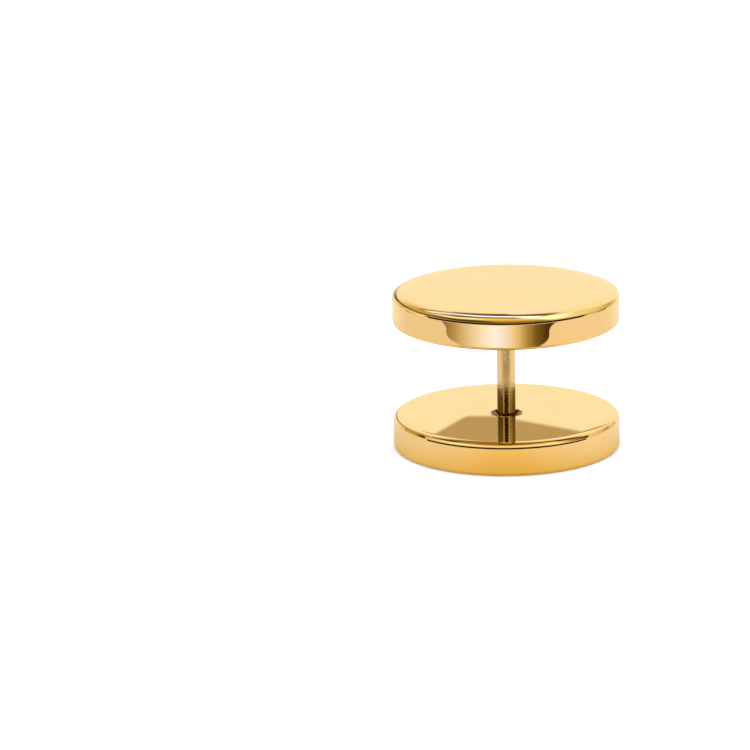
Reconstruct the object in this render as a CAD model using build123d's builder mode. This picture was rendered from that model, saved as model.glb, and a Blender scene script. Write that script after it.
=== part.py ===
"""A dumbbell ear stud standing on its back disc.

Two round discs face each other across the gap that the ear lobe fills. A thin post is set in
the front disc and screws into a countersunk hole in the back disc. All sizes are in
millimetres. The origin is the centre of the face that the stud stands on, and +Z runs up the
post, from the back disc to the front disc.
"""

import os

from build123d import *

# Driving sizes
disc_diameter = 14.0
disc_thickness = 2.0
front_ease_reach = 1.3
front_ease_drop = 0.3
back_ease_reach = 0.75
back_ease_drop = 0.25
crisp_radius = 0.2
lobe_gap = 5.9

shank_diameter = 1.15
shank_bevel = 0.08
spigot_diameter = 0.8
spigot_length = 1.0

thread_diameter = 1.0
thread_pitch = 0.25
thread_depth = 0.15
thread_length = 1.4
thread_runout = 0.25
ridge_base_width = 0.21
ridge_crest_width = 0.03
ridge_sink = 0.02
tip_bevel = 0.1

mouth_diameter = 2.0
mouth_angle = 90

# Clearances between the pieces
socket_clearance = 0.02
hole_clearance = 0.03
end_clearance = 0.05

# Heights and radii that follow from the driving sizes
back_face_height = disc_thickness
front_face_height = back_face_height + lobe_gap
shank_top_height = front_face_height - socket_clearance
thread_tip_height = back_face_height - thread_length
thread_radius = thread_diameter / 2
core_radius = thread_radius - thread_depth


def plain_disc(low, ease_reach, ease_drop):
    """A disc on a given height, its upper edge eased by a quarter ellipse, its lower one crisp."""
    radius = disc_diameter / 2
    high = low + disc_thickness
    with BuildPart() as disc:
        with BuildSketch(Plane.XZ):
            with BuildLine():
                Polyline((0, low), (radius, low), (radius, high - ease_drop))
                EllipticalCenterArc(
                    center=(radius - ease_reach, high - ease_drop),
                    x_radius=ease_reach,
                    y_radius=ease_drop,
                    start_angle=0,
                    arc_size=90,
                )
                Polyline((radius - ease_reach, high), (0, high), (0, low))
            make_face()
        revolve(axis=Axis.Z)
        fillet(disc.edges().filter_by(GeomType.CIRCLE).sort_by(Axis.Z)[0], radius=crisp_radius)
    return disc.part


# The front disc, the plain one that is seen when the stud is worn, with a blind socket in its
# inner face for the spigot of the post
with BuildPart() as front_disc:
    add(plain_disc(front_face_height, front_ease_reach, front_ease_drop))
    with Locations(Plane((0, 0, front_face_height), z_dir=(0, 0, -1))):
        Hole(spigot_diameter / 2 + socket_clearance, depth=spigot_length)

# The back disc, which the stud stands on, with the countersunk blind hole that the post screws
# into. The hole is plain and clears the crests of the thread
with BuildPart() as back_disc:
    add(plain_disc(0, back_ease_reach, back_ease_drop))
    with Locations((0, 0, back_face_height)):
        CounterSinkHole(
            radius=thread_radius + hole_clearance,
            counter_sink_radius=mouth_diameter / 2,
            depth=thread_length + end_clearance,
            counter_sink_angle=mouth_angle,
        )

# The post: a plain shank that fills the gap, with a spigot that sits in the front disc at its
# upper end and a thinner threaded end below its bevelled lower shoulder
with BuildPart() as post:
    with BuildSketch(Plane.XY.offset(back_face_height)):
        Circle(shank_diameter / 2)
    extrude(amount=shank_top_height - back_face_height)
    lower_shoulder = post.edges().filter_by(GeomType.CIRCLE).sort_by(Axis.Z)[0]
    chamfer(lower_shoulder, length=shank_bevel)
    with BuildSketch(Plane.XY.offset(shank_top_height)):
        Circle(spigot_diameter / 2)
    extrude(amount=spigot_length)
    with BuildSketch(Plane.XY.offset(thread_tip_height)):
        Circle(core_radius)
    extrude(amount=thread_length)
    tip_edge = post.edges().filter_by(GeomType.CIRCLE).sort_by(Axis.Z)[0]
    chamfer(tip_edge, length=tip_bevel)

    # The ridge of the thread, a blunt wedge wound round the core and sunk a little into it
    ridge_start = thread_tip_height + tip_bevel + ridge_base_width / 2
    ridge_end = back_face_height - thread_runout
    with BuildLine() as ridge_path:
        Helix(
            pitch=thread_pitch,
            height=ridge_end - ridge_start,
            radius=core_radius,
            center=(0, 0, ridge_start),
        )
    with BuildSketch(Plane(ridge_path.line @ 0, x_dir=(1, 0, 0), z_dir=ridge_path.line % 0)):
        with BuildLine():
            Polyline(
                (-ridge_sink, -ridge_base_width / 2),
                (-ridge_sink, ridge_base_width / 2),
                (thread_depth, ridge_crest_width / 2),
                (thread_depth, -ridge_crest_width / 2),
                close=True,
            )
        make_face()
    sweep(path=ridge_path.line, is_frenet=True)

os.makedirs("parts", exist_ok=True)
front_disc.part.label = "front_disc"
back_disc.part.label = "back_disc"
post.part.label = "post"
export_step(front_disc.part, "parts/front_disc.step")
export_step(back_disc.part, "parts/back_disc.step")
export_step(post.part, "parts/post.step")
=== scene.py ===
"""The dumbbell ear stud in polished gold, standing on its back disc in a small white studio."""

import math

import bpy
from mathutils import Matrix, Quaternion, Vector


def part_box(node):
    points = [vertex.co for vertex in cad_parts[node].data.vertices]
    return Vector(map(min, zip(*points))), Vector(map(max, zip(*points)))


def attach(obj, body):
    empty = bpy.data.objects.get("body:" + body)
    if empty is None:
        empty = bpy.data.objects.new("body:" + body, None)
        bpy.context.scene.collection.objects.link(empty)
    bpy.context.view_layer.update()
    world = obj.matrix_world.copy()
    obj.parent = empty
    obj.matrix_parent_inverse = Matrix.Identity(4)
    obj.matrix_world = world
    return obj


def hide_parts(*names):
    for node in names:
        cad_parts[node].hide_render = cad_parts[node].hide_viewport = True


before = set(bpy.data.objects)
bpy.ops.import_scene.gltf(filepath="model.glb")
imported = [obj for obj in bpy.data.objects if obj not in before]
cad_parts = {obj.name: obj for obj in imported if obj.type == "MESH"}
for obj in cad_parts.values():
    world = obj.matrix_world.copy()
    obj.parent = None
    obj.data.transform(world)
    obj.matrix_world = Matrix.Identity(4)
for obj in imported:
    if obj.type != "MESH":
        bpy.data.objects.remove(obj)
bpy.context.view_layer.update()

MM = 0.001

# Places read from the frame, in metres
back_low, back_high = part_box("back_disc")
front_low, front_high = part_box("front_disc")
post_low, post_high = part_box("post")
disc_radius = front_high.x
shank_radius = post_high.x

# Sizes of the pieces, the same as in the solids
crisp_radius = 0.2 * MM
shank_bevel = 0.08 * MM
spigot_radius = 0.4 * MM
core_radius = 0.35 * MM
thread_depth = 0.15 * MM
thread_pitch = 0.25 * MM
tip_bevel = 0.1 * MM
mouth_radius = 1.0 * MM
socket_clearance = 0.02 * MM
hole_clearance = 0.03 * MM
end_clearance = 0.05 * MM

# The discs' upper edges in millimetres, corner by corner from the face to the rim: how far the
# corner lies in from the rim and below the face, and how far its rounding reaches back along the
# side before it and on along the side after it. The last side is a fine, nearly upright facet.
front_edge = [
    (0.135, 0, 1.165, 0.29),
    (0.02, 0.285, 0.006, 0.006),
    (0, 0.4, 0.02, 0.02),
]
back_edge = [
    (0.45, 0, 0.3, 0.18),
    (0.165, 0.048, 0.1, 0.05),
    (0.02, 0.18, 0.02, 0.02),
    (0, 0.285, 0.01, 0.01),
]

# Other details that are finer than in the solids
softened = 0.02 * MM
ridge_end_gap = 0.15 * MM
groove_end_gap = 0.1 * MM
groove_depth = 0.07 * MM
flank_steepness = 1.3
flat_root_share = 0.2

# Radii and heights that follow from these sizes. The countersink slopes at 45 degrees
socket_radius = spigot_radius + socket_clearance
socket_top = post_high.z + socket_clearance
shank_top = front_low.z - socket_clearance
hole_radius = core_radius + thread_depth + hole_clearance
hole_bottom = post_low.z - end_clearance
cone_bottom = back_high.z - (mouth_radius - hole_radius)
ridge_low = post_low.z + tip_bevel
ridge_high = back_high.z - ridge_end_gap
groove_low = hole_bottom + groove_end_gap
groove_high = cone_bottom - softened

# How finely the round meshes are made
turn_steps = 256
arc_steps = 20
row_height = thread_pitch / 14
upright_within = 1e-8
slope_nudge = 0.0001 * MM

# The camera, from the outline of the stud in the photograph, 750 pixels wide and high
photo_side = 750
sensor_width = 36
camera_elevation = math.radians(15.66)
camera_distance = 272 * MM
camera_roll = math.radians(-0.47)
pixels_per_metre = 16180
look_height = 5 * MM
look_pixel = Vector((506.1, 366.0))


# Round meshes


def turned_outline(corners):
    """Rows (radius, height, normal out, normal up) along an outline with eased corners.

    Each corner is (radius, height, reach before, reach after): how far its quarter ellipse goes
    back and on along the two sides. The metal lies on the right-hand side of the way from the
    first corner to the last, and both of these are on the axis.
    """
    rows = []
    for before, corner, after in zip(corners, corners[1:], corners[2:]):
        here = Vector(corner[:2])
        arriving = (here - Vector(before[:2])).normalized() * corner[2]
        leaving = (Vector(after[:2]) - here).normalized() * corner[3]
        for step in range(arc_steps + 1):
            part = math.pi / 2 * step / arc_steps
            point = here - arriving * (1 - math.sin(part)) + leaving * (1 - math.cos(part))
            onward = (arriving * math.cos(part) + leaving * math.sin(part)).normalized()
            rows.append((point.x, point.y, -onward.y, onward.x))
    return rows


def with_rows_between(rows, low, high):
    """Adds evenly spaced rows to the upright stretches that lie between two heights."""
    finer = [rows[0]]
    for row in rows[1:]:
        last = finer[-1]
        drop = last[1] - row[1]
        upright = abs(row[0] - last[0]) < upright_within
        inside = max(row[1], last[1]) > low and min(row[1], last[1]) < high
        if upright and inside and abs(drop) > row_height:
            count = math.ceil(abs(drop) / row_height)
            for step in range(1, count):
                finer.append((last[0], last[1] - drop * step / count, last[2], last[3]))
        finer.append(row)
    return finer


def turned_piece(name, rows, top, bottom, relief=None):
    """A closed mesh turned about Z from outline rows, with exact normals.

    The relief, a function of radius, turn angle and height, is added to the radius.
    """
    points = []
    normals = []
    for radius, height, normal_out, normal_up in rows:
        for step in range(turn_steps):
            angle = 2 * math.pi * step / turn_steps
            outward = Vector((math.cos(angle), math.sin(angle), 0))
            onward = Vector((-outward.y, outward.x, 0))
            raised = 0.0
            normal = outward * normal_out + Vector((0, 0, normal_up))
            if relief:
                raised = relief(radius, angle, height)
                further_round = relief(radius, angle + slope_nudge / radius, height)
                further_up = relief(radius, angle, height + slope_nudge)
                slope_round = (further_round - raised) / slope_nudge
                slope_up = (further_up - raised) / slope_nudge
                normal -= (onward * slope_round + Vector((0, 0, slope_up))) * normal_out
            points.append(outward * (radius + raised) + Vector((0, 0, height)))
            normals.append(normal.normalized())
    upper_pole = len(points)
    lower_pole = upper_pole + 1
    points += [Vector((0, 0, top)), Vector((0, 0, bottom))]
    normals += [Vector((0, 0, rows[0][3])), Vector((0, 0, rows[-1][3]))]

    faces = []
    last_ring = upper_pole - turn_steps
    for step in range(turn_steps):
        following = (step + 1) % turn_steps
        faces.append((upper_pole, step, following))
        faces.append((lower_pole, last_ring + following, last_ring + step))
        for ring in range(0, last_ring, turn_steps):
            below = ring + turn_steps
            faces.append((ring + step, below + step, below + following, ring + following))
    mesh = bpy.data.meshes.new(name)
    mesh.from_pydata(points, [], faces)
    mesh.shade_smooth()
    mesh.normals_split_custom_set_from_vertices(normals)
    piece = bpy.data.objects.new(name, mesh)
    bpy.context.scene.collection.objects.link(piece)
    return piece


def thread_ridge(angle, height, low, high):
    """How far up its ridge a right-handed thread is at this place, from 0 at the root to 1."""
    place = (height / thread_pitch - angle / (2 * math.pi)) % 1
    flank = flank_steepness * (1 - 2 * abs(place - 0.5)) - flat_root_share
    slope = min(1, max(0, flank))
    fade = min(1, max(0, (height - low) / thread_pitch), max(0, (high - height) / thread_pitch))
    return slope * slope * (3 - 2 * slope) * fade


# The pieces


def edge_corners(edge, face_height):
    """The corners of a disc's upper edge, in metres, round a face at this height."""
    return [
        (disc_radius - inset * MM, face_height - drop * MM, before * MM, after * MM)
        for inset, drop, before, after in edge
    ]


def make_front_disc():
    corners = [
        (0, front_high.z, 0, 0),
        *edge_corners(front_edge, front_high.z),
        (disc_radius, front_low.z, crisp_radius, crisp_radius),
        (socket_radius, front_low.z, softened, softened),
        (socket_radius, socket_top, softened, softened),
        (0, socket_top, 0, 0),
    ]
    rows = turned_outline(corners)
    return turned_piece("front_disc_polished", rows, front_high.z, socket_top)


def make_back_disc():
    corners = [
        (0, hole_bottom, 0, 0),
        (hole_radius, hole_bottom, softened, softened),
        (hole_radius, cone_bottom, softened, softened),
        (mouth_radius, back_high.z, softened, softened),
        *edge_corners(back_edge, back_high.z),
        (disc_radius, back_low.z, crisp_radius, crisp_radius),
        (0, back_low.z, 0, 0),
    ]

    def groove(radius, angle, height):
        if radius > mouth_radius:
            return 0.0
        return groove_depth * thread_ridge(angle, height, groove_low, groove_high)

    rows = with_rows_between(turned_outline(corners), groove_low, groove_high)
    return turned_piece("back_disc_polished", rows, hole_bottom, back_low.z, groove)


def make_post():
    places = [
        (spigot_radius, post_high.z),
        (spigot_radius, shank_top),
        (shank_radius, shank_top),
        (shank_radius, back_high.z + shank_bevel),
        (shank_radius - shank_bevel, back_high.z),
        (core_radius, back_high.z),
        (core_radius, post_low.z + tip_bevel),
        (core_radius - tip_bevel, post_low.z),
    ]
    corners = [(0, post_high.z, 0, 0)]
    corners += [(*place, softened, softened) for place in places]
    corners += [(0, post_low.z, 0, 0)]

    def ridge(radius, angle, height):
        return thread_depth * thread_ridge(angle, height, ridge_low, ridge_high)

    rows = with_rows_between(turned_outline(corners), ridge_low, ridge_high)
    return turned_piece("post_ground", rows, post_high.z, post_low.z, ridge)


# Building blocks for the materials

noise_low, noise_high = 0.3, 0.7


def empty_material(name):
    material = bpy.data.materials.new(name)
    material.use_nodes = True
    material.node_tree.nodes.clear()
    return material, material.node_tree


def add_node(tree, kind, inputs=(), **settings):
    """A node with its settings, each input given as a value or as another node's output."""
    node = tree.nodes.new("ShaderNode" + kind)
    for name, value in settings.items():
        setattr(node, name, value)
    for key, value in dict(inputs).items():
        if isinstance(value, bpy.types.NodeSocket):
            tree.links.new(value, node.inputs[key])
        else:
            node.inputs[key].default_value = value
    return node


def object_place(tree):
    return add_node(tree, "TexCoord").outputs["Object"]


def along_axes(tree, vector):
    return add_node(tree, "SeparateXYZ", {0: vector}).outputs


def length_of(tree, vector):
    return add_node(tree, "VectorMath", {0: vector}, operation="LENGTH").outputs["Value"]


def math_node(tree, operation, *values):
    return add_node(tree, "Math", enumerate(values), operation=operation).outputs[0]


def all_of(tree, *masks):
    """The product of the masks: 1 only where each of them is 1."""
    product = masks[0]
    for mask in masks[1:]:
        product = math_node(tree, "MULTIPLY", product, mask)
    return product


def with_share(tree, value, other, share):
    """The value plus a share of another one."""
    return math_node(tree, "MULTIPLY_ADD", other, share, value)


def between(tree, value, zero_at, one_at, smooth=True):
    """A step from 0 at one place to 1 at another, which may be the lower of the two."""
    kind = "SMOOTHSTEP" if smooth else "LINEAR"
    inputs = {"Value": value, "From Min": zero_at, "From Max": one_at}
    return add_node(tree, "MapRange", inputs, interpolation_type=kind).outputs[0]


def inside_box(tree, *sides):
    """1 inside a box with sides (value, low, high, softness), softly falling to 0 outside it."""
    masks = []
    for value, low, high, soft in sides:
        masks.append(between(tree, value, low - soft, low + soft))
        masks.append(between(tree, value, high + soft, high - soft))
    return all_of(tree, *masks)


def noise(tree, place, scale, detail, seed=None):
    """Noise from 0 to 1, a different one for each seed."""
    inputs = {"Vector": place, "Scale": scale, "Detail": detail}
    if seed is None:
        return add_node(tree, "TexNoise", inputs).outputs[0]
    inputs["W"] = seed
    return add_node(tree, "TexNoise", inputs, noise_dimensions="4D").outputs[0]


def mixed(tree, factor, first, second, blend="MIX"):
    inputs = {0: factor, 6: first, 7: second}
    node = add_node(tree, "Mix", inputs, data_type="RGBA", blend_type=blend)
    return node.outputs[2]


def painted(tree, base, mask, colour):
    """The base with one colour over it where the mask is 1."""
    return mixed(tree, mask, base, (*colour, 1))


def colour_ramp(tree, value, stops):
    """Colours at rising places from 0 to 1."""
    node = add_node(tree, "ValToRGB", {0: value})
    elements = node.color_ramp.elements
    while len(elements) < len(stops):
        elements.new(1)
    for element, (place, colour) in zip(elements, stops):
        element.position = place
        element.color = (*colour, 1)
    return node.outputs[0]


def ramp_over(tree, value, low, high, stops):
    """Colours at rising places between two values."""
    share = between(tree, value, low, high, smooth=False)
    shares = [((place - low) / (high - low), colour) for place, colour in stops]
    return colour_ramp(tree, share, shares)


def grained(tree, grain, low, high):
    """A value that goes from low to high with the grain of a noise."""
    inputs = {
        "Value": grain,
        "From Min": noise_low,
        "From Max": noise_high,
        "To Min": low,
        "To Max": high,
    }
    return add_node(tree, "MapRange", inputs).outputs[0]


def grained_colour(tree, grain, low_colour, high_colour):
    return colour_ramp(tree, grain, [(noise_low, low_colour), (noise_high, high_colour)])


# The gold: its colours, and how its hairlines and grinding marks are turned and stretched

polish_colours = (1.0, 0.69, 0.235), (1.0, 0.71, 0.25)
ground_colours = (0.84, 0.61, 0.23), (0.95, 0.7, 0.28)
# Painted shade for the countersink and the hole below it
countersink_shade_colour = (0.3, 0.22, 0.14)
# Painted shade for the post's foot and, darkest, for its throat at the back disc
foot_shade_colour = (0.66, 0.47, 0.17)
throat_shade_colour = (0.24, 0.1, 0.03)
hairline_tilt = (0.3, 0.2)
hairline_turns = (0.4, 1.5, 2.5)
hairline_scale = (300, 14000, 9000)
hairline_share = 0.62, 0.76
grinding_scale = (900, 900, 16000)


def finish_metal(tree, colour, roughness, height, strength, distance):
    """The metal's shader, with a bump of this height, strength and distance."""
    bump = add_node(tree, "Bump", {"Height": height, "Strength": strength, "Distance": distance})
    inputs = {
        "Base Color": colour,
        "Metallic": 1,
        "Roughness": roughness,
        "Normal": bump.outputs[0],
    }
    shader = add_node(tree, "BsdfPrincipled", inputs).outputs[0]
    add_node(tree, "OutputMaterial", {0: shader})


def polished_gold():
    """Mirror-polished gold with fine hairlines and a faint unevenness, with painted shade darkening
    the countersink.
    """
    material, tree = empty_material("polished_gold")
    place = object_place(tree)
    scratched = 0
    for seed, turn in enumerate(hairline_turns, 1):
        rotation = (*hairline_tilt, turn)
        inputs = {"Vector": place, "Rotation": rotation, "Scale": hairline_scale}
        stretched = add_node(tree, "Mapping", inputs).outputs[0]
        streaks = noise(tree, stretched, scale=1, detail=3, seed=seed)
        hairlines = between(tree, streaks, *hairline_share)
        scratched = math_node(tree, "MAXIMUM", scratched, hairlines)
    cloudy = noise(tree, place, scale=420, detail=4)
    roughness = with_share(tree, grained(tree, cloudy, 0.012, 0.03), scratched, 0.03)

    axes = along_axes(tree, place)
    level = add_node(tree, "CombineXYZ", {0: axes[0], 1: axes[1]}).outputs[0]
    radius = length_of(tree, level)
    # Painted shade: the countersink and the hole below it get a dark brown-grey colour
    countersink_shade = all_of(
        tree,
        between(tree, radius, mouth_radius, mouth_radius - 0.03 * MM),
        between(tree, axes[2], back_high.z, back_high.z - 0.01 * MM),
    )
    colour = painted(tree, grained_colour(tree, cloudy, *polish_colours), countersink_shade, countersink_shade_colour)
    uneven = with_share(tree, cloudy, scratched, -0.04)
    finish_metal(tree, colour, roughness, uneven, strength=0.15, distance=0.005 * MM)
    return material


def ground_gold():
    """Gold ground round and round, satin rather than polished, with painted shade darkening the
    post's foot.
    """
    material, tree = empty_material("ground_gold")
    place = object_place(tree)
    banded = add_node(tree, "Mapping", {"Vector": place, "Scale": grinding_scale}).outputs[0]
    marks = noise(tree, banded, scale=1, detail=3)
    grain = noise(tree, place, scale=9000, detail=4)
    roughness = grained(tree, grain, 0.07, 0.15)
    up = along_axes(tree, place)[2]
    out_of_hole = between(tree, up, back_high.z - 0.3 * MM, back_high.z)

    def low_on_shank(fades_by, full_to):
        """1 from the back disc's face up to a height above it, and 0 from a greater one."""
        low = between(tree, up, back_high.z + fades_by, back_high.z + full_to)
        return all_of(tree, low, out_of_hole)

    colour = grained_colour(tree, grain, *ground_colours)
    # Painted shade: the post gets darker towards its foot and darkest at the throat where it meets
    # the back disc
    colour = painted(tree, colour, low_on_shank(1.6 * MM, 0.3 * MM), foot_shade_colour)
    colour = painted(tree, colour, low_on_shank(0.16 * MM, 0.06 * MM), throat_shade_colour)
    height = with_share(tree, grain, marks, 0.5)
    finish_metal(tree, colour, roughness, height, strength=0.5, distance=0.01 * MM)
    return material


# The studio: white floor and light for the camera, glows and cards for the reflections

floor_reach = 3
floor_colours = (0.9, 0.9, 0.9), (0.92, 0.92, 0.92)
room_light = 1.8
tent_radius = 560 * MM
far_dark = (0.008, 0.005, 0.002)


def glowing(tree, colour):
    shader = add_node(tree, "Emission", {"Color": colour}).outputs[0]
    add_node(tree, "OutputMaterial", {0: shader})


def stage_mesh(name, points, faces, material):
    mesh = bpy.data.meshes.new(name)
    mesh.from_pydata(points, [], faces)
    mesh.materials.append(material)
    piece = bpy.data.objects.new(name, mesh)
    bpy.context.scene.collection.objects.link(piece)
    return piece


def reflected_only(piece):
    """Shows a light or card to reflections and to nothing else."""
    piece.visible_camera = False
    piece.visible_diffuse = False
    piece.visible_shadow = False
    piece.visible_transmission = False
    piece.data.materials[0].cycles.emission_sampling = "NONE"


def level_card(name, material, rows, columns, height):
    """A level card of rows (radius, left azimuth, right azimuth), seen in reflections only."""
    points = []
    for radius, left, right in rows:
        for column in range(columns + 1):
            angle = left + (right - left) * column / columns
            points.append((radius * math.sin(angle), -radius * math.cos(angle), 0))
    faces = []
    for row in range(len(rows) - 1):
        for column in range(columns):
            first = row * (columns + 1) + column
            beyond = first + columns + 1
            faces.append((first, first + 1, beyond + 1, beyond))
    card = stage_mesh(name, points, faces, material)
    card.location = (0, 0, height)
    reflected_only(card)


def make_floor():
    material, tree = empty_material("white_table")
    grain = noise(tree, object_place(tree), scale=60, detail=3)
    colour = grained_colour(tree, grain, *floor_colours)
    shader = add_node(tree, "BsdfPrincipled", {"Base Color": colour, "Roughness": 0.9}).outputs[0]
    add_node(tree, "OutputMaterial", {0: shader})
    corners = [(-1, -1), (1, -1), (1, 1), (-1, 1)]
    points = [(x * floor_reach, y * floor_reach, 0) for x, y in corners]
    floor = stage_mesh("white_floor", points, [(0, 1, 2, 3)], material)
    floor.visible_glossy = False


def make_world():
    world = bpy.data.worlds.new("white_room")
    world.use_nodes = True
    background = world.node_tree.nodes["Background"]
    background.inputs["Color"].default_value = (1, 1, 1, 1)
    background.inputs["Strength"].default_value = room_light
    bpy.context.scene.world = world


def reflected_again(tree):
    """1 for light that reaches the camera after two or more reflections, 0 after one."""
    return between(tree, add_node(tree, "LightPath").outputs["Ray Depth"], 1.4, 1.6)


def azimuth_of(tree, axes):
    """The angle round the stud in radians, 0 straight in front, growing to the right."""
    return math_node(tree, "ARCTAN2", axes[0], math_node(tree, "MULTIPLY", axes[1], -1))


def not_behind(tree, turn):
    """1 in front and at the sides, 0 behind, where the turn is the azimuth without its sign."""
    return between(tree, turn, 2.5, 2.2)


def make_table_glow():
    """The lit table top: gold by the stud, white further out, dark far off except behind.

    Near the stud it gives little light to what is reflected again.
    """
    material, tree = empty_material("table_glow")
    place = object_place(tree)
    radius_mm = math_node(tree, "DIVIDE", length_of(tree, place), MM)
    azimuth = azimuth_of(tree, along_axes(tree, place))
    turn = math_node(tree, "ABSOLUTE", azimuth)
    ahead = ramp_over(tree, radius_mm, 0, 60, [
        (6.9, (0.6, 0.38, 0.1)),
        (7.7, (0.77, 0.57, 0.26)),
        (8.6, (0.81, 0.6, 0.3)),
        (10.9, (0.86, 0.675, 0.41)),
        (12.4, (0.905, 0.76, 0.5)),
        (16, (0.8, 0.72, 0.55)),
        (34, (0.9, 0.8, 0.75)),
        (42, (0.9, 0.81, 0.85)),
    ])
    aside = ramp_over(tree, radius_mm, 0, 60, [
        (6.9, (0.7, 0.55, 0.3)),
        (7.7, (0.85, 0.72, 0.55)),
        (9.5, (0.92, 0.83, 0.85)),
        (12.4, (0.97, 0.89, 1.15)),
        (34, (0.93, 0.85, 0.95)),
        (42, (0.93, 0.85, 1.05)),
    ])
    to_side = between(tree, turn, math.radians(8), math.radians(62), smooth=False)
    glow = mixed(tree, to_side, ahead, aside)
    ring = all_of(tree, between(tree, radius_mm, 13, 16), between(tree, radius_mm, 30, 24))
    shade = all_of(tree, between(tree, turn, 1.3, 0.3), ring)
    glow = painted(tree, glow, shade, (0.42, 0.36, 0.26))
    to_left = between(tree, azimuth, math.radians(-20), math.radians(-60))
    glow = mixed(tree, to_left, glow, (0.93, 0.95, 0.93, 1), "MULTIPLY")
    behind = all_of(tree, between(tree, turn, 1.9, 2.4), between(tree, radius_mm, 30, 36))
    glow = painted(tree, glow, behind, (0.95, 0.95, 0.92))
    near_stud = all_of(tree, between(tree, radius_mm, 28, 24), reflected_again(tree))
    glow = painted(tree, glow, near_stud, (0.15, 0.08, 0.03))
    far_off = all_of(tree, not_behind(tree, turn), between(tree, radius_mm, 108, 114))
    glowing(tree, painted(tree, glow, far_off, far_dark))

    sides = 96
    points = [(0, 0, 0)]
    for step in range(sides):
        angle = 2 * math.pi * step / sides
        points.append((tent_radius * math.cos(angle), tent_radius * math.sin(angle), 0))
    faces = [(0, 1 + step, 1 + (step + 1) % sides) for step in range(sides)]
    reflected_only(stage_mesh("table_top_glow", points, faces, material))


def card_shading(name, low, high, shades):
    """A glowing material shaded by azimuth, from shades (degrees, colour) between two azimuths."""
    material, tree = empty_material(name)
    azimuth = azimuth_of(tree, along_axes(tree, object_place(tree)))
    degrees = math_node(tree, "DEGREES", azimuth)
    glowing(tree, ramp_over(tree, degrees, low, high, shades))
    return material


def make_front_card():
    """A card on the table in front, curved round the stud, from gold through white to black.

    Its two side edges flare outwards with the distance in an S curve.
    """
    material = card_shading("front_card_shading", -60, 44, [
        (-60, (0.28, 0.19, 0.08)),
        (-56, (0.37, 0.27, 0.14)),
        (-48, (0.5, 0.4, 0.29)),
        (-40, (0.71, 0.62, 0.61)),
        (-30, (0.86, 0.88, 1.15)),
        (-20, (0.97, 1.1, 1.9)),
        (-10, (1.05, 1.22, 2.8)),
        (0, (0.97, 1.05, 2.0)),
        (10, (0.84, 0.74, 0.7)),
        (20, (0.42, 0.32, 0.175)),
        (28, (0.19, 0.127, 0.033)),
        (36, (0.1, 0.06, 0.01)),
        (42, (0.05, 0.03, 0.003)),
    ])
    inner, outer = 26 * MM, 42.4 * MM
    flare_start, flare_length, flare_limit = 36 * MM, 5.8 * MM, 1.07
    left_middle, left_flare = -57, 15
    right_middle, right_flare = 40.5, 10
    row_count, columns = 64, 24
    rows = []
    for row in range(row_count + 1):
        radius = inner + (outer - inner) * row / row_count
        along = min(flare_limit, max(0, (radius - flare_start) / flare_length))
        flare = (2 * along - 1) ** 3
        left = math.radians(left_middle - left_flare * flare)
        right = math.radians(right_middle + right_flare * flare)
        rows.append((radius, left, right))
    level_card("front_card", material, rows, columns, height=0.02 * MM)


def make_brim_card():
    """A level card beside the front disc and over the back disc's brim, which reflects it."""
    low, high = -110, 90
    material = card_shading("brim_card_shading", low, high, [
        (-105, (0.1, 0.06, 0.02)),
        (-80, (0.9, 0.8, 0.6)),
        (-50, (1.0, 1.15, 1.2)),
        (0, (0.9, 0.95, 1.0)),
        (50, (1.0, 1.15, 1.2)),
        (65, (0.5, 0.4, 0.2)),
        (80, (0.06, 0.03, 0.01)),
    ])
    inner, outer = 7.4 * MM, 12.3 * MM
    rows = [(radius, math.radians(low), math.radians(high)) for radius in (inner, outer)]
    level_card("brim_card", material, rows, columns=60, height=9.5 * MM)


def make_tan_card():
    """A tan card behind the stud, whose corner shows as the brown patch on the back disc.

    The tan part lies above three soft edges, each with its fall to the right and its height at
    the middle.
    """
    material, tree = empty_material("tan_card_shading")
    axes = along_axes(tree, object_place(tree))
    soft = 0.15 * MM
    edges = [(-0.2, 0.0), (0.58, -0.32 * MM), (0.0, 0.21 * MM)]
    inside = 1.0
    for fall, height in edges:
        above_edge = with_share(tree, axes[2], axes[0], fall)
        inside = all_of(tree, inside, between(tree, above_edge, height - soft, height + soft))
    glow = add_node(tree, "Emission", {"Color": (0.515, 0.4, 0.24, 1)}).outputs[0]
    clear = add_node(tree, "BsdfTransparent").outputs[0]
    shader = add_node(tree, "MixShader", {0: inside, 1: clear, 2: glow}).outputs[0]
    add_node(tree, "OutputMaterial", {0: shader})
    left, right, low, high = -7.7 * MM, 11 * MM, -0.9 * MM, 2.2 * MM
    points = [(left, 0, low), (right, 0, low), (right, 0, high), (left, 0, high)]
    card = stage_mesh("tan_card", points, [(0, 1, 2, 3)], material)
    card.location = (-1.68 * MM, 9 * MM, 4.63 * MM)
    reflected_only(card)


# The tent of light, shaded by direction in layers

# Sideways is how far to the right a direction goes and ahead how far to the front, both from -1
# to 1. Over is how far it is from the front horizon over the top to the back one, and rise how
# far above the horizon, both in degrees. Turn is its azimuth without the sign, in radians.


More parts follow.
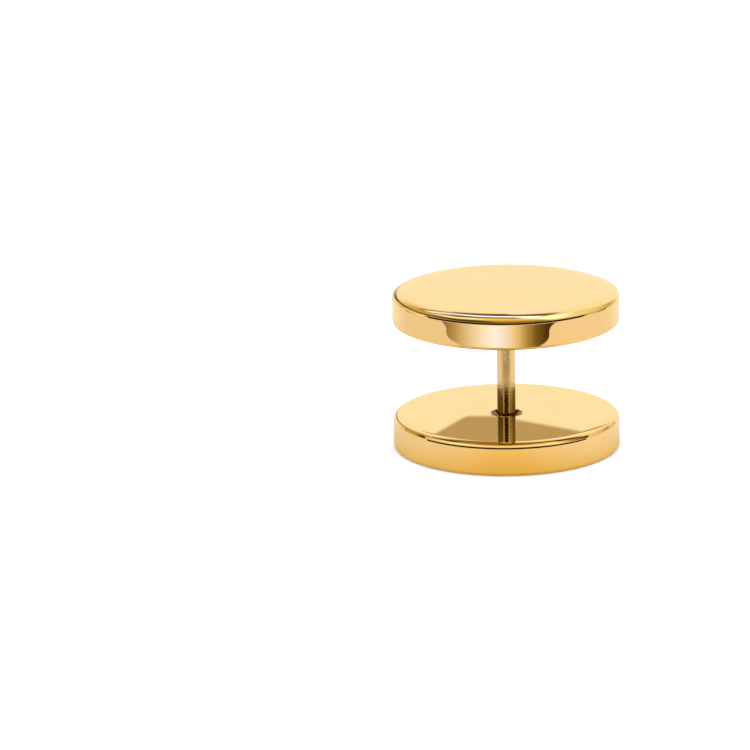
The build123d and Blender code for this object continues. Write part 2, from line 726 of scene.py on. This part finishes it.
def tent_walls(tree, sideways, ahead, over, rise):
    """The broad tones of the middle, the left and the right, which meet along soft borders."""
    middle = ramp_over(tree, over, 0, 180, [
        (20, (0.06, 0.035, 0.008)),
        (40, (0.16, 0.095, 0.012)),
        (60, (0.26, 0.155, 0.012)),
        (83, (0.4, 0.26, 0.04)),
        (95, (0.52, 0.37, 0.09)),
        (105, (0.62, 0.46, 0.16)),
        (118, (0.72, 0.53, 0.18)),
        (127, (0.9, 0.74, 0.3)),
        (138, (0.96, 0.86, 0.45)),
        (146, (0.98, 0.95, 0.75)),
        (154, (0.99, 0.99, 0.94)),
    ])
    left = ramp_over(tree, over, 0, 180, [
        (20, (0.06, 0.035, 0.008)),
        (60, (0.1, 0.06, 0.015)),
        (90, (0.09, 0.06, 0.03)),
        (113, (0.2, 0.13, 0.05)),
        (127, (0.5, 0.36, 0.13)),
        (140, (0.64, 0.47, 0.19)),
        (146, (0.6, 0.44, 0.22)),
        (151, (0.74, 0.6, 0.42)),
        (156, (0.85, 0.78, 0.7)),
        (160, (0.99, 0.99, 0.94)),
    ])
    right = ramp_over(tree, rise, 0, 90, [
        (4, (0.6, 0.5, 0.32)),
        (14, (0.62, 0.5, 0.3)),
        (20, (0.42, 0.32, 0.16)),
        (27, (0.5, 0.41, 0.24)),
        (34, (0.76, 0.7, 0.5)),
        (45, (0.88, 0.88, 0.82)),
        (60, (0.97, 0.99, 1.1)),
    ])
    low_ahead = all_of(tree, between(tree, ahead, -0.1, 0.3), between(tree, rise, 34, 20))
    right = painted(tree, right, low_ahead, (0.12, 0.1, 0.05))
    glow = mixed(tree, between(tree, sideways, -0.05, -0.18), middle, left)
    bend = 135
    before = math_node(tree, "MAXIMUM", math_node(tree, "SUBTRACT", bend, over), 0)
    after = math_node(tree, "MAXIMUM", math_node(tree, "SUBTRACT", over, bend), 0)
    past_right = with_share(tree, sideways, before, -0.0059)
    past_right = with_share(tree, past_right, after, -0.014)
    return mixed(tree, between(tree, past_right, 0.04, 0.2), glow, right)


def tent_lamps(tree, glow, sideways, over):
    """A soft lamp on either side, overhead and behind, and a brown band that runs aslant."""
    aslant = with_share(tree, sideways, over, 0.0077)
    right_lamp = inside_box(tree, (aslant, 1.07, 1.24, 0.04), (over, 98, 141, 4))
    glow = painted(tree, glow, right_lamp, (1.25, 1.4, 1.8))
    left_lamp = inside_box(tree, (sideways, -0.27, -0.08, 0.04), (over, 120, 136, 3))
    glow = painted(tree, glow, left_lamp, (1.0, 1.15, 1.5))
    across = with_share(tree, over, sideways, -113)
    brown_band = inside_box(tree, (across, 186, 200, 5), (over, 100, 170, 10))
    return painted(tree, glow, brown_band, (0.08, 0.045, 0.02))


def tent_streak(tree, glow, sideways, over):
    """The bright bent streak behind, a third of the way up, with dark borders."""
    to_right = math_node(tree, "MAXIMUM", sideways, 0)
    to_left = math_node(tree, "MINIMUM", sideways, 0)
    past_left = math_node(tree, "MINIMUM", math_node(tree, "ADD", sideways, 0.07), 0)
    across = with_share(tree, over, to_right, 95)
    across = with_share(tree, across, to_left, 23)
    across = with_share(tree, across, past_left, -70)
    borders = [
        (-0.22, -0.12, 143.4, 145.5, 0.8, (0.25, 0.15, 0.03)),
        (-0.2, -0.06, 148, 151.5, 0.8, (0.22, 0.14, 0.05)),
        (-0.14, 0.035, 136.5, 145.5, 1.2, (0.25, 0.15, 0.02)),
    ]
    for left, right, low, high, soft, colour in borders:
        border = inside_box(tree, (sideways, left, right, 0.02), (across, low, high, soft))
        glow = painted(tree, glow, border, colour)

    stepped = with_share(tree, across, between(tree, sideways, -0.002, 0.006), 4)
    aslant = with_share(tree, sideways, over, -0.0075)
    above = all_of(
        tree,
        inside_box(tree, (sideways, -0.2, 0.08, 0.015), (stepped, 148, 161, 1)),
        between(tree, aslant, -1.225, -1.2),
    )
    glow = painted(tree, glow, above, (0.2, 0.13, 0.05))
    streak = inside_box(tree, (sideways, -0.19, 0.075, 0.015), (across, 144.6, 149.6, 1))
    fading = between(tree, sideways, -0.03, -0.09)
    streak_colour = mixed(tree, fading, (1.3, 1.8, 4.6, 1), (0.9, 1.1, 1.8, 1))
    return mixed(tree, streak, glow, streak_colour)


def tent_low_bands(tree, glow, sideways, ahead, rise, turn):
    """A light band low down and a dark horizon, with dark places for what is reflected again."""
    low_band = all_of(tree, between(tree, rise, 6.5, 8.5), between(tree, rise, 26, 22.5))
    light_band = all_of(tree, low_band, between(tree, ahead, -0.9, -0.7))
    glow = painted(tree, glow, light_band, (0.92, 0.8, 0.58))

    again = reflected_again(tree)
    left_end = all_of(tree, low_band, again, between(tree, sideways, -0.5, -0.7))
    glow = painted(tree, glow, left_end, (0.13, 0.12, 0.07))
    right_end = all_of(tree, low_band, again, between(tree, sideways, 0.5, 0.7))
    to_front = between(tree, ahead, 0, 0.3)
    right_colour = mixed(tree, to_front, (0.17, 0.14, 0.05, 1), (0.3, 0.32, 0.28, 1))
    glow = mixed(tree, right_end, glow, right_colour)
    aside = math_node(tree, "ABSOLUTE", sideways)
    low_front = all_of(
        tree,
        between(tree, ahead, 0.3, 0.7),
        between(tree, rise, 34, 17),
        between(tree, aside, 0.62, 0.3),
        again,
    )
    glow = painted(tree, glow, low_front, (0.004, 0.002, 0.001))
    horizon = all_of(tree, not_behind(tree, turn), between(tree, rise, 8.5, 6.5))
    return painted(tree, glow, horizon, far_dark)


def make_tent():
    """The tent itself, a sphere of light round the stud and its stage."""
    material, tree = empty_material("tent_glow")
    inputs = {0: object_place(tree)}
    direction = add_node(tree, "VectorMath", inputs, operation="NORMALIZE").outputs[0]
    axes = along_axes(tree, direction)
    sideways = axes[0]
    ahead = math_node(tree, "MULTIPLY", axes[1], -1)
    over = math_node(tree, "DEGREES", math_node(tree, "ARCTAN2", axes[2], ahead))
    rise = math_node(tree, "DEGREES", math_node(tree, "ARCSINE", axes[2]))
    turn = math_node(tree, "ABSOLUTE", azimuth_of(tree, axes))
    glow = tent_walls(tree, sideways, ahead, over, rise)
    glow = tent_lamps(tree, glow, sideways, over)
    glow = tent_streak(tree, glow, sideways, over)
    glow = tent_low_bands(tree, glow, sideways, ahead, rise, turn)
    glowing(tree, glow)
    bpy.ops.mesh.primitive_uv_sphere_add(segments=64, ring_count=32, radius=tent_radius)
    tent = bpy.context.object
    tent.name = "tent"
    tent.data.materials.append(material)
    reflected_only(tent)


# The camera


def make_camera():
    data = bpy.data.cameras.new("photo_camera")
    data.sensor_width = sensor_width
    pixels = pixels_per_metre * camera_distance
    data.lens = sensor_width * pixels / photo_side
    data.clip_start = 1 * MM
    data.clip_end = 20
    camera = bpy.data.objects.new("photo_camera", data)
    bpy.context.scene.collection.objects.link(camera)
    back = Vector((0, -math.cos(camera_elevation), math.sin(camera_elevation)))
    camera.location = Vector((0, 0, look_height)) + back * camera_distance
    level = (-back).to_track_quat("-Z", "Y")
    rolled = Quaternion((0, 0, 1), camera_roll)
    aside = look_pixel - Vector((photo_side / 2, photo_side / 2))
    seen_at = Vector((aside.x, -aside.y, -pixels))
    turned = seen_at.rotation_difference(Vector((0, 0, -1)))
    camera.rotation_mode = "QUATERNION"
    camera.rotation_quaternion = level @ rolled @ turned
    bpy.context.scene.camera = camera


# The whole scene


def dress(piece, material, body, node):
    """Gives a piece its material and slot and its body, and hides the node that it stands for."""
    piece.data.materials.append(material)
    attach(piece, body)
    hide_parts(node)


gold = polished_gold()
dress(make_front_disc(), gold, "front", "front_disc")
dress(make_back_disc(), gold, "back", "back_disc")
dress(make_post(), ground_gold(), "front", "post")

make_floor()
make_world()
make_table_glow()
make_front_card()
make_tent()
make_tan_card()
make_brim_card()
make_camera()
bpy.context.scene.view_settings.view_transform = "Standard"
